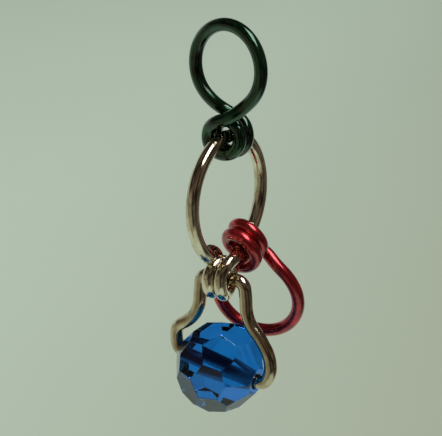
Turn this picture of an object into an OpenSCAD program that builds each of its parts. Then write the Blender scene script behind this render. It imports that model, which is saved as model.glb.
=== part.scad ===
// Dangling stitch marker for knitting: three wire rings with coiled necks and a glass bead.
// The largest ring hangs in the coil of the needle ring, a small ring and a bead hang from it.
// Millimetres, +Z up.  The origin is the centre of the needle ring's loop and +X is its axis.

/* [Wire] */
// Diameter of the wire of the three rings
wire_d = 1.2; // [0.9:0.05:1.4]
// Diameter of the wire that carries the bead
hanger_wire_d = 1.2; // [0.9:0.05:1.4]
// Gap between neighbouring turns of a coil
turn_gap = 0.05; // [0.03:0.01:0.15]
// Clearance all round between a coil and the wire in it, for the needle ring and the middle ring
coil_clearance = 0.24; // [0.2:0.02:0.4]
// Gap where the two cut ends of a ring's wire meet inside its coil
end_gap = 0.1; // [0.05:0.05:0.3]

/* [Needle ring] */
// Inside diameter of the needle ring's loop
needle_loop_bore = 6.3; // [5.5:0.1:9]
// Height of the neck, from the wire of the coil to that of the loop, in wire diameters
needle_neck = 0.84; // [0.8:0.02:1.4]
// Whole turns of the coil, before the last half turn
needle_turns = 1; // [1:1:3]
// Angle by which the coil is turned out of square with its loop
needle_coil_turn = 8; // [0:1:12]

/* [Middle ring] */
// Inside diameter of the middle ring's loop
middle_loop_bore = 10; // [9:0.1:13]
// Height of the neck, from the wire of the coil to that of the loop, in wire diameters
middle_neck = 0.47; // [0.45:0.02:1.3]
// Whole turns of the coil, before the last half turn
middle_turns = 1; // [1:1:3]
// How far the coil's middle lies behind the loop's plane
middle_coil_shift = 0.8; // [0:0.1:1]

/* [Side ring] */
// Inside diameter of the side ring's loop
side_loop_bore = 6.8; // [5.5:0.1:8]
// Height of the neck, from the wire of the coil to that of the loop, in wire diameters
side_neck = 0.45; // [0.4:0.02:1.2]
// Clearance all round between the side ring's coil and the middle ring's wire
side_clearance = 0.36; // [0.2:0.02:0.5]
// Gap that is left at rest where the side ring's coil hangs on the middle ring's wire
rest_gap = 0.1; // [0.05:0.01:0.15]
// Whole turns of the coil, before the last half turn
side_turns = 1; // [1:1:3]
// Place of the coil on the middle ring, in degrees past the neck's strand
side_place = 11.5; // [11.5:0.5:50]
// Angle by which the loop is turned out of square with its coil
side_loop_turn = -10; // [-15:1:15]
// Angle by which the loop leans towards the middle ring's coil
side_loop_lean = 13; // [0:1:15]

/* [Bead hanger] */
// Distance from the coil's axis down to the bead's centre
bead_drop = 8.6; // [8:0.1:11]
// Tilt of the bead's bore out of level
bead_tilt = 9.5; // [0:0.5:15]
// Room inside the bends where the arms turn down beside the coil
neck_bend = 0.35; // [0.2:0.05:0.8]
// Clearance between the bead's high end and the arm that passes it
high_end_clearance = 0.2; // [0.2:0.05:1.2]
// Clearance between the bead's low end and the arm that passes it
low_end_clearance = 0.8; // [0.4:0.05:1.2]
// Length of each wire end inside the bead
end_reach = 2.4; // [1:0.1:3]

/* [Bead] */
// Diameter of the bead across opposite facets
bead_d = 7.8; // [7:0.1:10]
// Length of the bead along its bore
bead_length = 8; // [6.5:0.1:9.5]
// Clearance all round between the bore and the wire in it
bore_clearance = 0.08; // [0.05:0.01:0.2]
// Facets round the bead in each row
facets_round = 8; // [6:1:10]
// Slope of the two middle rows of facets, in degrees from the bore's direction
middle_slope = 19; // [15:1:25]
// Slope of the two end rows of facets
end_slope = 52; // [45:1:60]
// Turn of the bead about its bore at rest
bead_turn = 0; // [0:1:45]

/* [Hidden] */
wire_facets = 32;
arc_facets = 96;
bore_facets = 64;
// Stretches of wire stop this short of each other, and knuckles this much thicker join them
seam = 0.03;
knuckle_extra = 0.008;
// Rise over length below which a stretch of wire is straight
straight_rise = 0.001;

// The advance of a coil's wire in one turn
pitch = wire_d + turn_gap;
// How much higher a strand crosses for each degree that the side ring's loop is turned, and for
// each further turn of a coil, in wire diameters
side_rise = 0.012;
turn_rise = 0.15;
// For each ring's front and back strand: its height over the coil's wire where they cross, in wire
// diameters, and the place where it leaves the loop's plane, in degrees from the neck
needle_strands = [[0.17, 45], [0.17, 45]];
middle_strands = [[0.3, 30], [0.67, 32]];
side_strands = [[0.37 + side_rise * side_loop_turn, 45], [0.37 + side_rise * side_loop_turn, 45]];
// How much of the way out of the plane a strand has gone there, and how fast it goes
leave_share = 0.08;
leave_slope = 0.25;
// How steep a strand still is where it crosses, as a share of the way it would leave its loop
dip_share = 0.5;
// How far along the middle ring's wire its strand is in the way, as a share of its drift to the coil
strand_share = 0.7;

// The hanger's shape: half of its straight middle, the half widths of its neck and of its arms beside
// the bead, how far it stands towards the bead's low end, the elbow's height over the bore, the bend's
// gap off the bead's end, and the neck's depth
hold_half = (coil_length(middle_turns) + hanger_wire_d) / 2;
neck_half = hold_half + hanger_wire_d / 2 + neck_bend;
arm_half = (bead_length + high_end_clearance + low_end_clearance + hanger_wire_d) / 2;
arm_shift = (low_end_clearance - high_end_clearance) / 2;
elbow_rise = hanger_wire_d / 2 + 1;
mouth_gap = 0.1;
neck_drop = 1.75 * wire_d;
// Where each arm's shoulder is: shares of the way out from the neck to the bead's arm, and down
shoulder_out = 0.35;
shoulder_down = 0.48;

// Radius of each loop's centre line
needle_r = (needle_loop_bore + wire_d) / 2;
middle_r = (middle_loop_bore + wire_d) / 2;
side_r = (side_loop_bore + wire_d) / 2;

// Length of a coil between its strands, and how far a loop's wire bows inside a coil
function coil_length(turns) = (turns + 0.5) * pitch;
function bow(turns) = (middle_r - sqrt(middle_r ^ 2 - (coil_length(turns) / 2) ^ 2)) / 2;

// Distance from a coil's axis to the lowest point of its loop's centre line
function neck_length(clearance, neck) = wire_d + clearance + neck * wire_d;
needle_drop = needle_r + neck_length(coil_clearance, needle_neck);

// The side ring's place on the middle ring, in degrees from its lowest point, and how far out it hangs
strand_drift = coil_length(middle_turns) / 2 + pitch / 4 - middle_coil_shift;
side_reach = strand_share * strand_drift + (coil_length(side_turns) + wire_d) / 2;
side_angle = side_place + side_reach / middle_r * 180 / PI;
side_out = middle_r + side_clearance - rest_gap - 2 * bow(side_turns);

// The points that the moving pieces turn about, in the frame that hangs from the needle ring's coil
middle_centre = [0, 0, -(middle_r - bow(needle_turns))];
side_hinge = middle_centre + side_out * [sin(side_angle), 0, -cos(side_angle)];
hanger_hinge = middle_centre - [0, -middle_coil_shift, middle_r + neck_length(coil_clearance, middle_neck)];

// Unit vector, a unit vector square to z, and a vector turned about the upright axis and then leaned
// about X
function unit(v) = v / norm(v);
function across(z) = unit(cross(z, abs(z.z) < 0.9 ? [0, 0, 1] : [1, 0, 0]));
function turned(v, a) = [v.x * cos(a) - v.y * sin(a), v.x * sin(a) + v.y * cos(a), v.z];
function leaned(v, a) = [v.x, v.y * cos(a) - v.z * sin(a), v.y * sin(a) + v.z * cos(a)];

// Puts its children in the frame with origin o and axes x, y and z
module place(o, x, y, z) {
    multmatrix([[x.x, y.x, z.x, o.x], [x.y, y.y, z.y, o.y], [x.z, y.z, z.z, o.z], [0, 0, 0, 1]]) children();
}

// A stretch of round wire that leaves p in the direction t and bends along one arc to q.
// Both of its ends stop one seam short, where a knuckle joins it to the next stretch.
module wire_arc(p, t, q, d) {
    chord = q - p;
    ahead = chord * t;
    aside = chord - ahead * t;
    rise = norm(aside);
    if (rise < straight_rise * norm(chord)) {
        z = unit(chord);
        place(p + seam * z, across(z), cross(z, across(z)), z)
            cylinder(d = d, h = norm(chord) - 2 * seam, $fn = wire_facets);
    } else {
        radius = (chord * chord) / (2 * rise);
        inward = aside / rise;
        trim = asin(seam / radius);
        place(p + radius * inward, -inward, t, cross(t, inward))
            rotate([0, 0, trim])
                rotate_extrude(angle = 2 * atan2(rise, ahead) - 2 * trim, $fn = arc_facets)
                    translate([radius, 0]) circle(d = d, $fn = wire_facets);
    }
}

// The bead of wire at the station p, with its poles along the wire's direction t
module knuckle(p, t, d) {
    place(p, across(t), cross(t, across(t)), t) sphere(d = d + knuckle_extra, $fn = wire_facets);
}

// The point and direction halfway along the pair of arcs that joins station a to station b
function mid_reach(a, b) =
    let (v = b[0] - a[0], t = a[1] + b[1], k = 2 * (1 - a[1] * b[1]))
    k < 0.000001 ? (v * v) / (4 * (v * b[1])) : (sqrt((v * t) ^ 2 + k * (v * v)) - v * t) / k;
function mid_point(a, b, reach) = (a[0] + reach * a[1] + b[0] - reach * b[1]) / 2;
function mid_way(a, b, reach) = unit(b[0] - reach * b[1] - a[0] - reach * a[1]);

// Wire bent through a list of stations, each a point and the direction of the wire there
module bent_wire(stations, d) {
    for (i = [0 : len(stations) - 2]) {
        a = [stations[i][0], unit(stations[i][1])];
        b = [stations[i + 1][0], unit(stations[i + 1][1])];
        reach = mid_reach(a, b);
        middle = mid_point(a, b, reach);
        way = mid_way(a, b, reach);
        knuckle(a[0], a[1], d);
        wire_arc(a[0], a[1], middle, d);
        knuckle(middle, way, d);
        wire_arc(middle, way, b[0], d);
    }
}

// One strand of a ring's wire, from halfway round its loop to its cut end in the coil.
// The coil's middle is the origin, its axis is Y, and the loop is above it.
// hand is 1 for the strand that comes down on the +X side, and -1 for the other.
function strand(hand, loop_r, turns, coil_r, rise, leave, centre, top, pose, half_turns) =
    let (
        half = coil_length(turns) / 2,
        knot = [0, -hand * (half + pitch / 4), coil_r + rise],
        dip = dip_share * acos(min(1, loop_r / (top - knot.z))),
        drift = knot.y - centre.y,
        on_loop = function (a, y) centre + pose([hand * loop_r * sin(a), y, -loop_r * cos(a)])
    )
    concat(
        [
            [on_loop(90, 0), pose([0, 0, -1])],
            [on_loop(leave, leave_share * drift),
             pose([-hand * cos(leave), leave_slope * drift / loop_r, -sin(leave)])],
            [knot, [-hand * cos(dip), 0, -sin(dip)]],
            [[-hand * coil_r, -hand * half, 0], [0, 0, -1]]
        ],
        [for (i = [1 : half_turns])
            [[(i % 2 == 1 ? hand : -hand) * coil_r, -hand * (half - i * pitch / 2), 0], [0, 0, i % 2 == 1 ? 1 : -1]]
        ],
        [cut_end(hand, half, coil_r, half_turns)]
    );

// The wire's cut end, at the top of the coil's last turn but for half of the end gap
function cut_end(hand, half, coil_r, half_turns) =
    let (
        from = half_turns % 2 == 1 ? hand : -hand,
        a = 90 - asin((end_gap / 2 - seam) / coil_r)
    )
    [[from * coil_r * cos(a), -hand * (half - (half_turns / 2 + a / 360) * pitch), coil_r * sin(a)],
     [-from * sin(a), hand * pitch / (2 * PI * coil_r), cos(a)]];

// A ring: a round loop whose two strands cross at the neck and coil towards each other
module coiled_ring(loop_r, neck, turns, clearance, strands, shift = 0, turn = 0, lean = 0) {
    coil_r = wire_d + clearance;
    pose = function (v) leaned(turned(v, turn), lean);
    rise = [for (s = strands) (s[0] + turn_rise * (turns - 1)) * wire_d];
    top = loop_r + neck_length(clearance, neck);
    pivot = [0, 0, coil_r + rise[0]];
    centre = pivot + pose([0, -shift, top - pivot.z]);
    top_half(loop_r, centre, turn, lean);
    for (i = [0, 1])
        bent_wire(
            strand(
                1 - 2 * i, loop_r, turns, coil_r, rise[i], strands[i][1],
                centre, top, pose, i == 0 ? 1 : 2 * turns - 1),
            wire_d
        );
}

// The far half of a ring's loop
module top_half(loop_r, centre, turn, lean) {
    trim = asin(seam / loop_r);
    translate(centre) rotate([lean, 0, 0]) rotate([0, 0, turn]) rotate([90, -trim, 0])
        rotate_extrude(angle = 180 - 2 * trim, $fn = arc_facets)
            translate([loop_r, 0]) circle(d = wire_d, $fn = wire_facets);
}

module needle_ring() {
    color("darkgreen")
        translate([0, 0, -needle_drop]) rotate([0, 0, needle_coil_turn - 90])
            coiled_ring(
                needle_r, needle_neck, needle_turns, coil_clearance, needle_strands,
                turn = -needle_coil_turn
            );
}

// Puts its children in the frame of the pieces that hang from the needle ring's coil
module hung() {
    translate([0, 0, -needle_drop]) rotate([0, 0, needle_coil_turn]) children();
}

module middle_ring() {
    color("silver")
        hung() translate(hanger_hinge)
            coiled_ring(
                middle_r, middle_neck, middle_turns, coil_clearance, middle_strands,
                shift = middle_coil_shift
            );
}

module side_ring() {
    color("firebrick")
        hung() translate(side_hinge) rotate([0, 180 - side_angle, 0]) rotate([0, 0, 90])
            coiled_ring(
                side_r, side_neck, side_turns, side_clearance, side_strands,
                turn = side_loop_turn, lean = side_loop_lean
            );
}

// One arm of the hanger, from the coil that holds it down to the wire's end inside the bead.
// side is 1 for the arm at the bead's higher end and -1 for the other.
module hanger_arm(side) {
    along = [0, side * cos(bead_tilt), side * sin(bead_tilt)];
    mouth = [0, 0, -bead_drop] + (bead_length / 2 + mouth_gap) * along;
    shoulder = [
        neck_half + shoulder_out * (arm_half - neck_half),
        neck_drop + shoulder_down * (bead_drop - elbow_rise - neck_drop)
    ];
    bent_wire([
        [[0, side * hold_half - arm_shift, 0], [0, side, 0]],
        [[0, side * neck_half - arm_shift, -neck_drop], [0, 0, -1]],
        [[0, side * shoulder.x - arm_shift, -shoulder.y], [0, side, -1]],
        [[0, side * arm_half - arm_shift, mouth.z + elbow_rise], [0, 0, -1]],
        [mouth, -along]
    ], hanger_wire_d);
    knuckle(mouth, -along, hanger_wire_d);
    wire_arc(mouth, -along, mouth - (mouth_gap + end_reach + seam) * along, hanger_wire_d);
}

module bead_hanger() {
    color("gainsboro")
        hung() translate(hanger_hinge) {
            wire_arc(
                [0, -hold_half - arm_shift, 0], [0, 1, 0], [0, hold_half - arm_shift, 0],
                hanger_wire_d
            );
            hanger_arm(1);
            hanger_arm(-1);
        }
}

// One row of flat facets round the bore, each at bead_d / 2 from the bead's centre
module facet_row(slope, turn) {
    lift = bead_length / 2 * sin(slope);
    scale_out = 1 / (cos(slope) * cos(180 / facets_round));
    rotate([0, 0, turn])
        cylinder(
            r1 = (bead_d / 2 + lift) * scale_out,
            r2 = (bead_d / 2 - lift) * scale_out,
            h = bead_length,
            center = true,
            $fn = facets_round
        );
}

module bead() {
    half_step = 180 / facets_round;
    color("royalblue")
        hung() translate(hanger_hinge - [0, 0, bead_drop]) rotate([bead_tilt - 90, 0, 0]) rotate([0, 0, bead_turn])
            difference() {
                intersection() {
                    facet_row(middle_slope, 0);
                    facet_row(-middle_slope, half_step);
                    facet_row(end_slope, half_step);
                    facet_row(-end_slope, 0);
                }
                cylinder(
                    d = hanger_wire_d + 2 * bore_clearance, h = 2 * bead_length, center = true, $fn = bore_facets);
            }
}

needle_ring();
middle_ring();
side_ring();
bead_hanger();
bead();
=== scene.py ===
"""A dangling stitch marker: three wire rings with coiled necks, and a faceted glass bead on a hanger."""

from math import acos, asin, atan2, cos, degrees, pi, radians, sin, sqrt

import bmesh
import bpy
from mathutils import Matrix, Vector


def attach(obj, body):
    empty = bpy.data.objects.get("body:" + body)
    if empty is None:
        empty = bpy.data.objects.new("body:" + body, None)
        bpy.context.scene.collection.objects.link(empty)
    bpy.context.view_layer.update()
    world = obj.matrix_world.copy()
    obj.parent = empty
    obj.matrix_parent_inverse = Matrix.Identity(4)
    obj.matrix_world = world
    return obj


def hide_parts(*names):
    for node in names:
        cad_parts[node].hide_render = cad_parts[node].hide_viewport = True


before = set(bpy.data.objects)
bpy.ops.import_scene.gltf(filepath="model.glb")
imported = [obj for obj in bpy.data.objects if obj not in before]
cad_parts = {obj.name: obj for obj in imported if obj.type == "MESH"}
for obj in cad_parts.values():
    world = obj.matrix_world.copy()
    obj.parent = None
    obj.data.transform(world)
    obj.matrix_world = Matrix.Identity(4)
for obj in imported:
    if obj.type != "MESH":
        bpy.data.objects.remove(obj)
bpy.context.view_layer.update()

MM = 0.001

# Sizes of the marker, the same as in the part's source, in millimetres and degrees

# The wire, the turns of a coil and the gap between them, the clearance between a coil and the wire in
# it, and the gap where a ring's two cut ends meet
WIRE = 1.2
COIL_TURNS = 1.5
TURN_GAP = 0.05
COIL_CLEARANCE = 0.24
END_GAP = 0.1

# The top ring: the inside of its loop, its neck in wire diameters, and the turn of its coil
NEEDLE_BORE = 6.3
NEEDLE_NECK = 0.84
NEEDLE_COIL_TURN = 8

# The middle ring, and how far its coil lies behind the plane of its loop
MIDDLE_BORE = 10
MIDDLE_NECK = 0.47
MIDDLE_COIL_SHIFT = 0.8

# The side ring, how it hangs on the middle ring and where, and how its loop is turned and leans
SIDE_BORE = 6.8
SIDE_NECK = 0.45
SIDE_CLEARANCE = 0.36
REST_GAP = 0.1
SIDE_PLACE = 11.5
SIDE_LOOP_TURN = -10
SIDE_LOOP_LEAN = 13

# The hanger, how the bead hangs in it, and each elbow's room over the bore
BEAD_DROP = 8.6
BEAD_TILT = 9.5
NECK_BEND = 0.35
HIGH_END_CLEARANCE = 0.2
LOW_END_CLEARANCE = 0.8
END_REACH = 2.4
ELBOW_ROOM = 1
MOUTH_GAP = 0.1

# The hanger's neck in wire diameters, and its shoulders as shares of the way out and down
NECK_DROP = 1.75
SHOULDER_OUT = 0.35
SHOULDER_DOWN = 0.48

# The bead, and the slope of its two middle and two end rows of facets
BEAD_D = 7.8
BEAD_LENGTH = 8
BORE_CLEARANCE = 0.08
FACETS_ROUND = 8
MIDDLE_SLOPE = 19
END_SLOPE = 52

# How much higher the side ring's strands cross for each degree that its loop is turned
SIDE_RISE = 0.012

# For each ring's front and back strand: its height over the coil's wire where they cross, in wire
# diameters, and the place where it leaves the loop's plane, in degrees from the neck
NEEDLE_STRANDS = [(0.17, 45), (0.17, 45)]
MIDDLE_STRANDS = [(0.3, 30), (0.67, 32)]
SIDE_STRANDS = [(0.37 + SIDE_RISE * SIDE_LOOP_TURN, 45)] * 2

# How much of the way out of the plane a strand has gone there, and how fast it goes
LEAVE_SHARE = 0.08
LEAVE_SLOPE = 0.25

# How steep a strand still is where it crosses, as a share of the way it would leave its loop, and how
# far along the middle ring's wire its strand is in the way, as a share of its drift to the coil
DIP_SHARE = 0.5
STRAND_SHARE = 0.7

# The advance of a coil's wire in one turn, a coil's length between its strands, the radius of each
# loop's centre line, and how far a loop's wire bows inside a coil
PITCH = WIRE + TURN_GAP
COIL_LENGTH = COIL_TURNS * PITCH
NEEDLE_R = (NEEDLE_BORE + WIRE) / 2
MIDDLE_R = (MIDDLE_BORE + WIRE) / 2
SIDE_R = (SIDE_BORE + WIRE) / 2
BOW = (MIDDLE_R - sqrt(MIDDLE_R**2 - (COIL_LENGTH / 2) ** 2)) / 2

# Detail that only the scene has: the softened edges of the wires' cut ends and of the bead's facets,
# and the chamfer at each mouth of its bore

CUT_SOFTENING = 0.1
FACET_SOFTENING = 0.045
CHAMFER = 0.09

# How finely things are made: the bend in one step, the steps in a straight stretch, the sides of a
# wire and of the bore, how little off straight is straight, and how near to each other points join

BEND_STEP = radians(5)
STRAIGHT_STEPS = 4
WIRE_SIDES = 32
BORE_SIDES = 64
NEARLY_STRAIGHT = 1e-6
JOIN_WITHIN = 1e-5


def turn_about(axis, degrees_round):
    """A turn about an axis through the origin."""
    return Matrix.Rotation(radians(degrees_round), 4, axis)


def shift(x, y, z):
    """A move by these distances."""
    return Matrix.Translation((x, y, z))


def neck_length(clearance, neck):
    """How far the lowest point of a loop's centre line is from the axis of its coil."""
    return WIRE + clearance + neck * WIRE


# The side ring's place on the middle ring, in degrees from its lowest point, and how far out it hangs
SIDE_DRIFT = COIL_LENGTH / 2 + PITCH / 4 - MIDDLE_COIL_SHIFT
SIDE_ANGLE = SIDE_PLACE + degrees((STRAND_SHARE * SIDE_DRIFT + (COIL_LENGTH + WIRE) / 2) / MIDDLE_R)
SIDE_OUT = MIDDLE_R + SIDE_CLEARANCE - REST_GAP - 2 * BOW

# The middle ring's centre and the axes of what hangs on it, as seen from the coil that it hangs in
MIDDLE_CENTRE = Vector((0, 0, BOW - MIDDLE_R))
SIDE_HINGE = MIDDLE_CENTRE + SIDE_OUT * Vector((sin(radians(SIDE_ANGLE)), 0, -cos(radians(SIDE_ANGLE))))
HANGER_HINGE = MIDDLE_CENTRE - Vector(
    (0, -MIDDLE_COIL_SHIFT, MIDDLE_R + neck_length(COIL_CLEARANCE, MIDDLE_NECK))
)

# Frames of the pieces, from millimetres in each piece's own frame to millimetres in the part's

NEEDLE_COIL = shift(0, 0, -NEEDLE_R - neck_length(COIL_CLEARANCE, NEEDLE_NECK))
HUNG = NEEDLE_COIL @ turn_about("Z", NEEDLE_COIL_TURN)
NEEDLE_FRAME = NEEDLE_COIL @ turn_about("Z", NEEDLE_COIL_TURN - 90)
MIDDLE_FRAME = HUNG @ Matrix.Translation(HANGER_HINGE)
SIDE_FRAME = (
    HUNG @ Matrix.Translation(SIDE_HINGE) @ turn_about("Y", 180 - SIDE_ANGLE) @ turn_about("Z", 90)
)
BEAD_FRAME = MIDDLE_FRAME @ shift(0, 0, -BEAD_DROP) @ turn_about("X", BEAD_TILT - 90)

# Bending wire: a route is a list of stations, each a point and the direction of the wire there


def arc_points(start, heading, goal):
    """Points and directions along the arc that leaves start this way and ends at goal, without start."""
    chord = goal - start
    ahead = chord.dot(heading)
    aside = chord - ahead * heading
    rise = aside.length
    if rise < NEARLY_STRAIGHT:
        steps = STRAIGHT_STEPS
        return [(start.lerp(goal, step / steps), heading) for step in range(1, steps + 1)]
    radius = chord.length_squared / (2 * rise)
    inward = aside / rise
    swing = 2 * atan2(rise, ahead)
    steps = max(2, round(swing / BEND_STEP))
    points = []
    for step in range(1, steps + 1):
        angle = swing * step / steps
        point = start + radius * (sin(angle) * heading + (1 - cos(angle)) * inward)
        points.append((point, cos(angle) * heading + sin(angle) * inward))
    return points


def bend_route(stations):
    """The centre line through the stations, with a pair of arcs between each two."""
    stations = [(Vector(point), Vector(heading).normalized()) for point, heading in stations]
    line = [stations[0]]
    for (start, leaving), (goal, arriving) in zip(stations, stations[1:]):
        chord = goal - start
        along = chord.dot(leaving + arriving)
        parting = 2 * (1 - leaving.dot(arriving))
        if parting < NEARLY_STRAIGHT:
            reach = chord.length_squared / (4 * chord.dot(arriving))
        else:
            reach = (sqrt(along**2 + parting * chord.length_squared) - along) / parting
        middle = (start + reach * leaving + goal - reach * arriving) / 2
        onward = (goal - reach * arriving - start - reach * leaving).normalized()
        line += arc_points(start, leaving, middle)
        line += arc_points(middle, onward, goal)
    return line


def reverse_route(line):
    """The same route from its other end."""
    return [(point, -heading) for point, heading in reversed(line)]


def ring_route(loop_r, neck, clearance, strands, shift_back=0, turn=0, lean=0):
    """A ring's centre line from one cut end to the other. The coil's axis is Y, the loop is above it."""
    coil_r = WIRE + clearance
    half = COIL_LENGTH / 2
    pose = turn_about("X", lean).to_3x3() @ turn_about("Z", turn).to_3x3()
    top = loop_r + neck_length(clearance, neck)
    pivot = Vector((0, 0, coil_r + strands[0][0] * WIRE))
    centre = pivot + pose @ Vector((0, -shift_back, top - pivot.z))
    end = pi / 2 - asin(END_GAP / 2 / coil_r)
    end_advance = (0.5 + end / (2 * pi)) * PITCH
    halves = []
    for hand, (rise, leave) in zip((1, -1), strands):
        knot = Vector((0, -hand * (half + PITCH / 4), coil_r + rise * WIRE))
        dip = DIP_SHARE * acos(min(1, loop_r / (top - knot.z)))
        drift = knot.y - centre.y
        angle = radians(leave)
        leaving = Vector((hand * loop_r * sin(angle), LEAVE_SHARE * drift, -loop_r * cos(angle)))
        leaving_way = Vector((-hand * cos(angle), LEAVE_SLOPE * drift / loop_r, -sin(angle)))
        halves.append(
            bend_route([
                (centre + pose @ Vector((0, 0, loop_r)), pose @ Vector((hand, 0, 0))),
                (centre + pose @ Vector((hand * loop_r, 0, 0)), pose @ Vector((0, 0, -1))),
                (centre + pose @ leaving, pose @ leaving_way),
                (knot, (-hand * cos(dip), 0, -sin(dip))),
                ((-hand * coil_r, -hand * half, 0), (0, 0, -1)),
                ((hand * coil_r, -hand * (half - PITCH / 2), 0), (0, 0, 1)),
                (
                    (hand * coil_r * cos(end), -hand * (half - end_advance), coil_r * sin(end)),
                    (-hand * sin(end), hand * PITCH / (2 * pi * coil_r), cos(end)),
                ),
            ])
        )
    return reverse_route(halves[1]) + halves[0][1:]


def hanger_route():
    """The hanger's centre line, from its end in the bead's low side over the coil to its other end."""
    hold_half = (COIL_LENGTH + WIRE) / 2
    neck_half = hold_half + WIRE / 2 + NECK_BEND
    arm_half = (BEAD_LENGTH + HIGH_END_CLEARANCE + LOW_END_CLEARANCE + WIRE) / 2
    arm_shift = (LOW_END_CLEARANCE - HIGH_END_CLEARANCE) / 2
    elbow_rise = WIRE / 2 + ELBOW_ROOM
    neck_drop = NECK_DROP * WIRE
    out = neck_half + SHOULDER_OUT * (arm_half - neck_half)
    down = neck_drop + SHOULDER_DOWN * (BEAD_DROP - elbow_rise - neck_drop)
    tilt = radians(BEAD_TILT)
    arms = []
    for side in (1, -1):
        along = side * Vector((0, cos(tilt), sin(tilt)))
        mouth = Vector((0, 0, -BEAD_DROP)) + (BEAD_LENGTH / 2 + MOUTH_GAP) * along
        arms.append(
            bend_route([
                ((0, -arm_shift, 0), (0, side, 0)),
                ((0, side * hold_half - arm_shift, 0), (0, side, 0)),
                ((0, side * neck_half - arm_shift, -neck_drop), (0, 0, -1)),
                ((0, side * out - arm_shift, -down), (0, side, -1)),
                ((0, side * arm_half - arm_shift, mouth.z + elbow_rise), (0, 0, -1)),
                (mouth, -along),
                (mouth - (MOUTH_GAP + END_REACH) * along, -along),
            ])
        )
    return reverse_route(arms[1]) + arms[0][1:]


# Making the pieces


def as_object(name, bm, finishes):
    """An object at the origin with this mesh and these finishes."""
    mesh = bpy.data.meshes.new(name)
    bm.to_mesh(mesh)
    bm.free()
    for finish in finishes:
        mesh.materials.append(finish)
    item = bpy.data.objects.new(name, mesh)
    bpy.context.collection.objects.link(item)
    return item


def put_on(name, bm, node, finishes):
    """Makes the piece and lets it stand for its CAD node, on the body of the same name."""
    piece = as_object(name, bm, finishes)
    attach(piece, node)
    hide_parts(node)


def edges_at(items):
    """The edges of these faces, or at these vertices, each once and always in the same order."""
    edges = (item.edges if isinstance(item, bmesh.types.BMFace) else item.link_edges for item in items)
    return list(dict.fromkeys(edge for some in edges for edge in some))


def grow(bm, rim):
    """Draws a wall out of a rim of edges, and gives the vertices and edges of its new rim."""
    grown = bmesh.ops.extrude_edge_only(bm, edges=rim)["geom"]
    verts = [item for item in grown if isinstance(item, bmesh.types.BMVert)]
    edges = [item for item in grown if isinstance(item, bmesh.types.BMEdge)]
    new = set(verts)
    return verts, [edge for edge in edges if new.issuperset(edge.verts)]


def bend_wire(name, route, place, node, finish):
    """A length of round wire along the route, cut square at both ends. along_wire holds each point's
    place in the straight wire it was bent from: across it in x and y, along it in z, in metres."""
    place = Matrix.Scale(MM, 4) @ place
    turn = place.to_3x3().normalized()
    line = [(place @ point, (turn @ heading).normalized()) for point, heading in route]
    bm = bmesh.new()
    straight = bm.verts.layers.float_vector.new("along_wire")
    start, heading = line[0]
    here = Matrix.Translation(start) @ heading.to_track_quat("Z", "Y").to_matrix().to_4x4()
    rim = bmesh.ops.create_circle(bm, segments=WIRE_SIDES, radius=WIRE / 2 * MM, matrix=here)["verts"]
    for vert in rim:
        vert[straight] = here.inverted() @ vert.co
    first = last = edges_at(rim)
    run = 0
    for (start, leaving), (goal, arriving) in zip(line, line[1:]):
        run += (goal - start).length
        bend = leaving.rotation_difference(arriving).to_matrix().to_4x4()
        step = Matrix.Translation(goal) @ bend @ Matrix.Translation(-start)
        rim, last = grow(bm, last)
        bmesh.ops.transform(bm, matrix=step, verts=rim)
        for vert in rim:
            vert[straight].z = run
    for face in bm.faces:
        face.smooth = True
    caps = [bmesh.ops.contextual_create(bm, geom=cut)["faces"][0] for cut in (first, last)]
    bmesh.ops.bevel(
        bm, geom=edges_at(caps), offset=CUT_SOFTENING * MM, segments=3, profile=0.5, affect="EDGES",
        material=-1,
    )
    bmesh.ops.recalc_face_normals(bm, faces=bm.faces)
    put_on(name, bm, node, [finish])


def grind(bm, outward, distance):
    """Takes off what stands out past a plane at this distance, and leaves a flat facet."""
    cut = bmesh.ops.bisect_plane(
        bm, geom=bm.verts[:] + bm.edges[:] + bm.faces[:], plane_co=outward * distance,
        plane_no=outward, clear_outer=True,
    )["geom_cut"]
    edges = [item for item in cut if isinstance(item, bmesh.types.BMEdge)]
    if edges:
        bmesh.ops.contextual_create(bm, geom=edges)


def drill(bm):
    """Opens the bead's two flat ends into a bore with a chamfer at each mouth; its faces take the second
    finish, ground glass with painted shade.
    """
    bore = WIRE / 2 + BORE_CLEARANCE
    half = BEAD_LENGTH / 2
    circle = bmesh.ops.create_circle(
        bm, segments=BORE_SIDES, radius=bore + CHAMFER, matrix=shift(0, 0, -half)
    )["verts"]
    mouth = last = edges_at(circle)
    for wider, height in ((-CHAMFER, CHAMFER), (0, 2 * half - 2 * CHAMFER), (CHAMFER, CHAMFER)):
        rim, last = grow(bm, last)
        widen = 1 + wider / (bore + max(0, -wider))
        bmesh.ops.scale(bm, vec=(widen, widen, 1), verts=rim)
        bmesh.ops.translate(bm, vec=(0, 0, height), verts=rim)
        for vert in rim:
            for face in vert.link_faces:
                face.material_index = 1
                face.smooth = wider == 0
    for side, hole in ((-1, mouth), (1, last)):
        polished = (face for face in bm.faces if not face.material_index)
        end = max(polished, key=lambda face: side * face.calc_center_median().z)
        around = list(end.edges)
        bmesh.ops.delete(bm, geom=[end], context="FACES_ONLY")
        bmesh.ops.triangle_fill(bm, use_beauty=True, edges=around + hole, normal=(0, 0, side))


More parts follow.
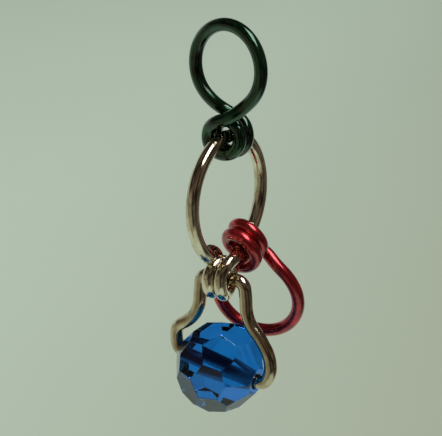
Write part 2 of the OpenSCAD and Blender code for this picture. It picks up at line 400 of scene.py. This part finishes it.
def cut_bead(name, node, glass, ground):
    """A bead cut from a block of glass: four rows of flat facets, two ends and a drilled bore. A row
    is its slope and its turn, as a share of a facet."""
    bm = bmesh.new()
    bmesh.ops.create_cube(bm, size=2 * BEAD_LENGTH)
    facet = 2 * pi / FACETS_ROUND
    for slope, turn in ((MIDDLE_SLOPE, 0.5), (-MIDDLE_SLOPE, 1), (END_SLOPE, 1), (-END_SLOPE, 0.5)):
        out = cos(radians(slope))
        up = sin(radians(slope))
        for count in range(FACETS_ROUND):
            angle = (count + turn) * facet
            grind(bm, Vector((out * cos(angle), out * sin(angle), up)), BEAD_D / 2)
    for side in (1, -1):
        grind(bm, Vector((0, 0, side)), BEAD_LENGTH / 2)
    bmesh.ops.bevel(
        bm, geom=bm.edges[:], offset=FACET_SOFTENING, segments=2, profile=0.5, affect="EDGES",
        material=-1,
    )
    drill(bm)
    bmesh.ops.remove_doubles(bm, verts=bm.verts, dist=JOIN_WITHIN)
    bmesh.ops.transform(bm, matrix=Matrix.Scale(MM, 4) @ BEAD_FRAME, verts=bm.verts)
    bmesh.ops.recalc_face_normals(bm, faces=bm.faces)
    # The second finish, on the bore, is ground glass whose dark colour is painted shade
    put_on(name, bm, node, [glass, ground])


# Finishes


class Signal:
    """An output socket. Sums on it add Math nodes to its finish."""

    def __init__(self, finish, socket):
        self.finish = finish
        self.socket = socket

    def work_out(self, operation, *values):
        return self.finish.add("ShaderNodeMath", {"operation": operation}, *values)

    def __add__(self, other):
        return self.work_out("ADD", self, other)

    __radd__ = __add__

    def __sub__(self, other):
        return self.work_out("SUBTRACT", self, other)

    def __rsub__(self, other):
        return self.work_out("SUBTRACT", other, self)

    def __mul__(self, other):
        return self.work_out("MULTIPLY", self, other)

    __rmul__ = __mul__


class Finish:
    """A node tree that is filled by one method."""

    def __init__(self, tree):
        self.tree = tree
        tree.nodes.clear()

    def add(self, kind, settings=None, *values, out=0, **named):
        """Makes a node, sets it, then fills its sockets in turn or by name. None leaves one as it is."""
        node = self.tree.nodes.new(kind)
        for key, value in (settings or {}).items():
            setattr(node, key, value)
        for key, value in [*enumerate(values), *named.items()]:
            socket = node.inputs[key if isinstance(key, int) else key.replace("_", " ")]
            if isinstance(value, Signal):
                self.tree.links.new(value.socket, socket)
            elif value is not None:
                socket.default_value = (*value, 1) if socket.type == "RGBA" else value
        return Signal(self, node.outputs[out]) if node.outputs else None

    def blend(self, share, one, other):
        """One colour at share 0 and the other at share 1. Five sockets for other types lie between."""
        skipped = [None] * 5
        return self.add("ShaderNodeMix", {"data_type": "RGBA"}, share, *skipped, one, other, out=2)

    def vector(self, operation, *values, out="Vector"):
        return self.add("ShaderNodeVectorMath", {"operation": operation}, *values, out=out)

    def dot(self, one, other):
        return self.vector("DOT_PRODUCT", one, tuple(other), out="Value")

    def larger(self, one, other):
        return self.add("ShaderNodeMath", {"operation": "MAXIMUM"}, one, other)

    def noise(self, place, scale, detail=2.0, roughness=0.5):
        return self.add(
            "ShaderNodeTexNoise", Vector=place, Scale=scale, Detail=detail, Roughness=roughness
        )

    def stretch(self, place, scale):
        return self.add("ShaderNodeMapping", Vector=place, Scale=scale)

    def step(self, value, low, high):
        """0 below low and 1 above high."""
        return self.add(
            "ShaderNodeMapRange", {"interpolation_type": "SMOOTHSTEP"}, value, low, high, 0.0, 1.0
        )

    def bump(self, height, distance, strength):
        return self.add("ShaderNodeBump", Height=height, Distance=distance, Strength=strength)

    def surface(self, **sockets):
        """The finish's one shader."""
        shader = self.add("ShaderNodeBsdfPrincipled", **sockets)
        self.add("ShaderNodeOutputMaterial", Surface=shader)


def new_finish(name):
    """A material, and its node tree to be filled."""
    material = bpy.data.materials.new(name)
    material.use_nodes = True
    return material, Finish(material.node_tree)


def wire_places(finish):
    """The place along the straight wire, and the same stretched so that marks run along the wire."""
    along = finish.add("ShaderNodeAttribute", {"attribute_name": "along_wire"}, out="Vector")
    return along, finish.stretch(along, (1.0, 1.0, 0.06))


def enamelled_wire(name, deep, clear, satin):
    """Coloured enamel over drawn wire: a dark lacquer that lights up where it is thin, under a coat."""
    material, finish = new_finish(name)
    along, drawn = wire_places(finish)
    cloud = finish.noise(along, scale=900.0, detail=3.0)
    lines = finish.noise(drawn, scale=9000.0, detail=3.0, roughness=0.6)
    peel = finish.noise(along, scale=5200.0)
    worn = finish.stretch(along, (1.0, 1.0, 0.3))
    scuffs = finish.step(finish.noise(worn, scale=3300.0, detail=4.0, roughness=0.65), low=0.6, high=0.72)
    finish.surface(
        Base_Color=finish.blend(finish.step(cloud + 0.5 * lines, low=0.45, high=1.05), deep, clear),
        Metallic=0.85,
        Roughness=satin + 0.14 * lines + 0.16 * scuffs,
        Coat_Weight=0.6 - 0.35 * scuffs,
        Coat_Roughness=0.05,
        Coat_IOR=1.75,
        Normal=finish.bump(0.7 * peel + 0.3 * lines, distance=0.000012, strength=0.6),
    )
    return material


def bright_wire(name, bright, dull):
    """Drawn silver-coloured wire: bright, with fine draw marks, a few scratches and a warm tarnish."""
    material, finish = new_finish(name)
    along, drawn = wire_places(finish)
    cloud = finish.noise(along, scale=700.0, detail=4.0, roughness=0.6)
    lines = finish.noise(drawn, scale=11000.0, detail=4.0, roughness=0.65)
    dents = finish.noise(finish.stretch(along, (1.0, 1.0, 0.5)), scale=1500.0)
    worn = finish.stretch(along, (1.0, 1.0, 0.12))
    scratches = finish.step(finish.noise(worn, scale=5200.0, detail=5.0, roughness=0.7), low=0.6, high=0.7)
    finish.surface(
        Base_Color=finish.blend(finish.step(cloud, low=0.35, high=0.72), bright, dull),
        Metallic=1.0,
        Roughness=0.06 + 0.08 * cloud + 0.09 * scratches,
        Normal=finish.bump(0.45 * lines + 0.55 * dents, distance=0.00002, strength=0.55),
    )
    return material


def cut_glass(name, colour, deeper, roughness, clear=1.0):
    """Coloured glass with polished or ground faces, and the faint streaks of the melt."""
    material, finish = new_finish(name)
    place = finish.add("ShaderNodeTexCoord", out="Object")
    streaks = finish.noise(finish.stretch(place, (1.0, 1.0, 3.0)), scale=320.0)
    wipes = finish.noise(place, scale=1500.0, detail=3.0)
    finish.surface(
        Base_Color=finish.blend(finish.step(streaks, low=0.3, high=0.7), colour, deeper),
        Roughness=roughness + 0.02 * finish.step(wipes, low=0.5, high=0.7),
        Transmission_Weight=clear,
        IOR=1.54,
    )
    return material


# The marker

green = enamelled_wire("green_enamel", (0.0004, 0.0025, 0.001), (0.0015, 0.075, 0.025), satin=0.07)
red = enamelled_wire("red_enamel", (0.20, 0.005, 0.012), (0.62, 0.020, 0.030), satin=0.2)
silver = bright_wire("silver_wire", (0.82, 0.74, 0.58), (0.56, 0.47, 0.33))
hanger_silver = bright_wire("hanger_wire", (0.68, 0.58, 0.42), (0.44, 0.35, 0.23))
blue = cut_glass("blue_glass", (0.017, 0.25, 0.84), (0.011, 0.20, 0.76), roughness=0.004)
# The bore's finish: ground glass, rough for real, with a dark navy colour that is painted shade inside the
# bore
ground_painted_shade_blue = cut_glass(
    "ground_bore_painted_shade", (0.002, 0.014, 0.07), (0.001, 0.006, 0.035), roughness=0.32, clear=0.3
)

bend_wire(
    "needle_ring_wire",
    ring_route(NEEDLE_R, NEEDLE_NECK, COIL_CLEARANCE, NEEDLE_STRANDS, turn=-NEEDLE_COIL_TURN),
    NEEDLE_FRAME, "needle_ring", green,
)
bend_wire(
    "middle_ring_wire",
    ring_route(MIDDLE_R, MIDDLE_NECK, COIL_CLEARANCE, MIDDLE_STRANDS, shift_back=MIDDLE_COIL_SHIFT),
    MIDDLE_FRAME, "middle_ring", silver,
)
bend_wire(
    "side_ring_wire",
    ring_route(
        SIDE_R, SIDE_NECK, SIDE_CLEARANCE, SIDE_STRANDS, turn=SIDE_LOOP_TURN, lean=SIDE_LOOP_LEAN
    ),
    SIDE_FRAME, "side_ring", red,
)
bend_wire("bead_hanger_wire", hanger_route(), MIDDLE_FRAME, "bead_hanger", hanger_silver)
cut_bead("faceted_bead", "bead", blue, ground_painted_shade_blue)

# The studio. BACK points from the marker to the camera, RIGHT and UP across and up its picture. They
# are fixed in the room and don't follow the camera to other views

CAMERA_AZIMUTH = radians(-49.0)
CAMERA_ELEVATION = radians(16.7)
BACK = Vector((
    sin(CAMERA_AZIMUTH) * cos(CAMERA_ELEVATION),
    -cos(CAMERA_AZIMUTH) * cos(CAMERA_ELEVATION),
    sin(CAMERA_ELEVATION),
))
RIGHT = Vector((cos(CAMERA_AZIMUTH), sin(CAMERA_AZIMUTH), 0))
UP = BACK.cross(RIGHT)
MARKER = (0.0, 0.0, -0.015)

# The picture's width and the camera's focal length in pixels, its sensor in millimetres, its distance
# in metres, and how far the picture's middle is off the marker, in pixels to the right and up
PICTURE_WIDTH = 442
FOCAL_PIXELS = 1800
SENSOR = 36
CAMERA_DISTANCE = 0.16074
AIM_RIGHT = -6.6
AIM_UP = 14.3
CLIP_START = 0.01
CLIP_END = 20

# The floor and walls, and what shiny things show of the room
PALE = (0.520, 0.580, 0.512)
# SHADED_PALE is painted shade on the floor, on the side that SHADED_SIDE points to
SHADED_PALE = (0.375, 0.395, 0.318)
# HORIZON is painted shade: the wall's colour low down, darkened to meet the floor's shaded far side
HORIZON = (0.255, 0.320, 0.265)
DIM = (0.016, 0.013, 0.011)
LESS_DIM = (0.115, 0.090, 0.066)
WARM = (0.30, 0.26, 0.18)
PALE_SIDE = (-BACK - 0.4 * RIGHT - 0.6 * UP).normalized()
UNDERNEATH = (-UP + 0.2 * RIGHT + 0.1 * BACK).normalized()
LOW_LEFT = (-0.75 * RIGHT - 0.6 * UP + 0.3 * BACK).normalized()
SHADED_SIDE = RIGHT + 0.3 * Vector((BACK.x, BACK.y, 0))
MOTTLE = 0.02
FLOOR_Z = -0.075
FLOOR_RADIUS = 4.0
FLOOR_SIDES = 96


def room_shade(finish, way):
    """What wire and glass show of the room in this direction from the marker: pale behind it towards the
    low left, dim and brown elsewhere. Gloss also shows it pale underneath and warm at the low left."""
    shiny = finish.add("ShaderNodeLightPath", out="Is Glossy Ray")
    pale_side = finish.step(finish.dot(way, PALE_SIDE), low=0.24, high=0.55)
    underneath = shiny * finish.step(finish.dot(way, UNDERNEATH), low=0.78, high=0.93)
    low_left = shiny * finish.step(finish.dot(way, LOW_LEFT), low=0.58, high=0.88)
    patches = finish.step(finish.noise(way, scale=2.6, detail=3.0), low=0.42, high=0.62)
    dim = finish.blend(patches, DIM, LESS_DIM)
    warmer = finish.blend(low_left, dim, WARM)
    return finish.blend(finish.larger(pale_side, underneath), warmer, PALE)


def plain_rays(finish):
    """1 where the camera or a matt surface looks, 0 where gloss or glass does."""
    seen = finish.add("ShaderNodeLightPath", out="Is Camera Ray")
    lit_by = finish.add("ShaderNodeLightPath", out="Is Diffuse Ray")
    return finish.larger(seen, lit_by)


def pale_floor():
    """A wide pale floor, a little mottled, with painted shade that darkens it towards one side."""
    material, finish = new_finish("pale_floor")
    place = finish.add("ShaderNodeTexCoord", out="Object")
    darker = tuple((1 - MOTTLE) * channel for channel in PALE)
    lighter = tuple((1 + MOTTLE) * channel for channel in PALE)
    pale = finish.blend(finish.noise(place, scale=9.0, detail=3.0), darker, lighter)
    # Painted shade: the floor's colour darkens past a line towards SHADED_SIDE, standing in for light
    # falling off to that side
    shaded = finish.step(finish.dot(place, SHADED_SIDE), low=-0.12, high=0.05)
    lit = finish.blend(shaded, pale, SHADED_PALE)
    way = finish.vector("NORMALIZE", finish.vector("SUBTRACT", place, MARKER))
    finish.surface(
        Base_Color=finish.blend(plain_rays(finish), room_shade(finish, way), lit),
        Roughness=0.85,
        Specular_IOR_Level=0.2,
    )
    bm = bmesh.new()
    bmesh.ops.create_circle(
        bm, cap_ends=True, segments=FLOOR_SIDES, radius=FLOOR_RADIUS, matrix=shift(0, 0, FLOOR_Z)
    )
    as_object("floor", bm, [material])


def room():
    """The world round the marker: a pale wall with painted shade that darkens it down to the horizon."""
    world = bpy.data.worlds.new("room")
    bpy.context.scene.world = world
    world.use_nodes = True
    finish = Finish(world.node_tree)
    way = finish.add("ShaderNodeTexCoord", out="Generated")
    height = finish.dot(way, (0.0, 0.0, 1.0))
    wall = finish.blend(finish.step(height, low=-0.02, high=0.35), HORIZON, PALE)
    colour = finish.blend(plain_rays(finish), room_shade(finish, way), wall)
    light = finish.add("ShaderNodeBackground", Color=colour, Strength=1.0)
    finish.add("ShaderNodeOutputWorld", Surface=light)


def stand(name, data, place, across, along, back):
    """Stands a lamp or camera at the place, with its X, Y and Z across, along and back."""
    item = bpy.data.objects.new(name, data)
    bpy.context.collection.objects.link(item)
    item.matrix_world = Matrix.Translation(place) @ Matrix((across, along, back)).transposed().to_4x4()
    return item


def lamp(name, toward, distance, width, height, share):
    """A soft oblong lamp, level across the view, that gives this share of a full plain light at the
    marker."""
    light = bpy.data.lights.new(name, "AREA")
    light.shape = "RECTANGLE"
    light.size = width
    light.size_y = height
    light.energy = share * pi * pi * distance**2
    toward = toward.normalized()
    across = (RIGHT - RIGHT.dot(toward) * toward).normalized()
    stand(name, light, Vector(MARKER) + distance * toward, across, toward.cross(across), toward)


def camera():
    """The photograph's view of the marker."""
    data = bpy.data.cameras.new("camera")
    data.sensor_width = SENSOR
    data.lens = SENSOR * FOCAL_PIXELS / PICTURE_WIDTH
    data.clip_start = CLIP_START
    data.clip_end = CLIP_END
    pixel = CAMERA_DISTANCE / FOCAL_PIXELS
    place = Vector(MARKER) + CAMERA_DISTANCE * BACK + AIM_RIGHT * pixel * RIGHT + AIM_UP * pixel * UP
    bpy.context.scene.camera = stand("camera", data, place, RIGHT, UP, BACK)


pale_floor()
room()
lamp(
    "overhead_lamp", toward=UP + 0.55 * BACK + 0.42 * RIGHT, distance=0.9, width=0.42, height=0.75,
    share=0.6,
)
camera()
bpy.context.scene.view_settings.view_transform = "Standard"
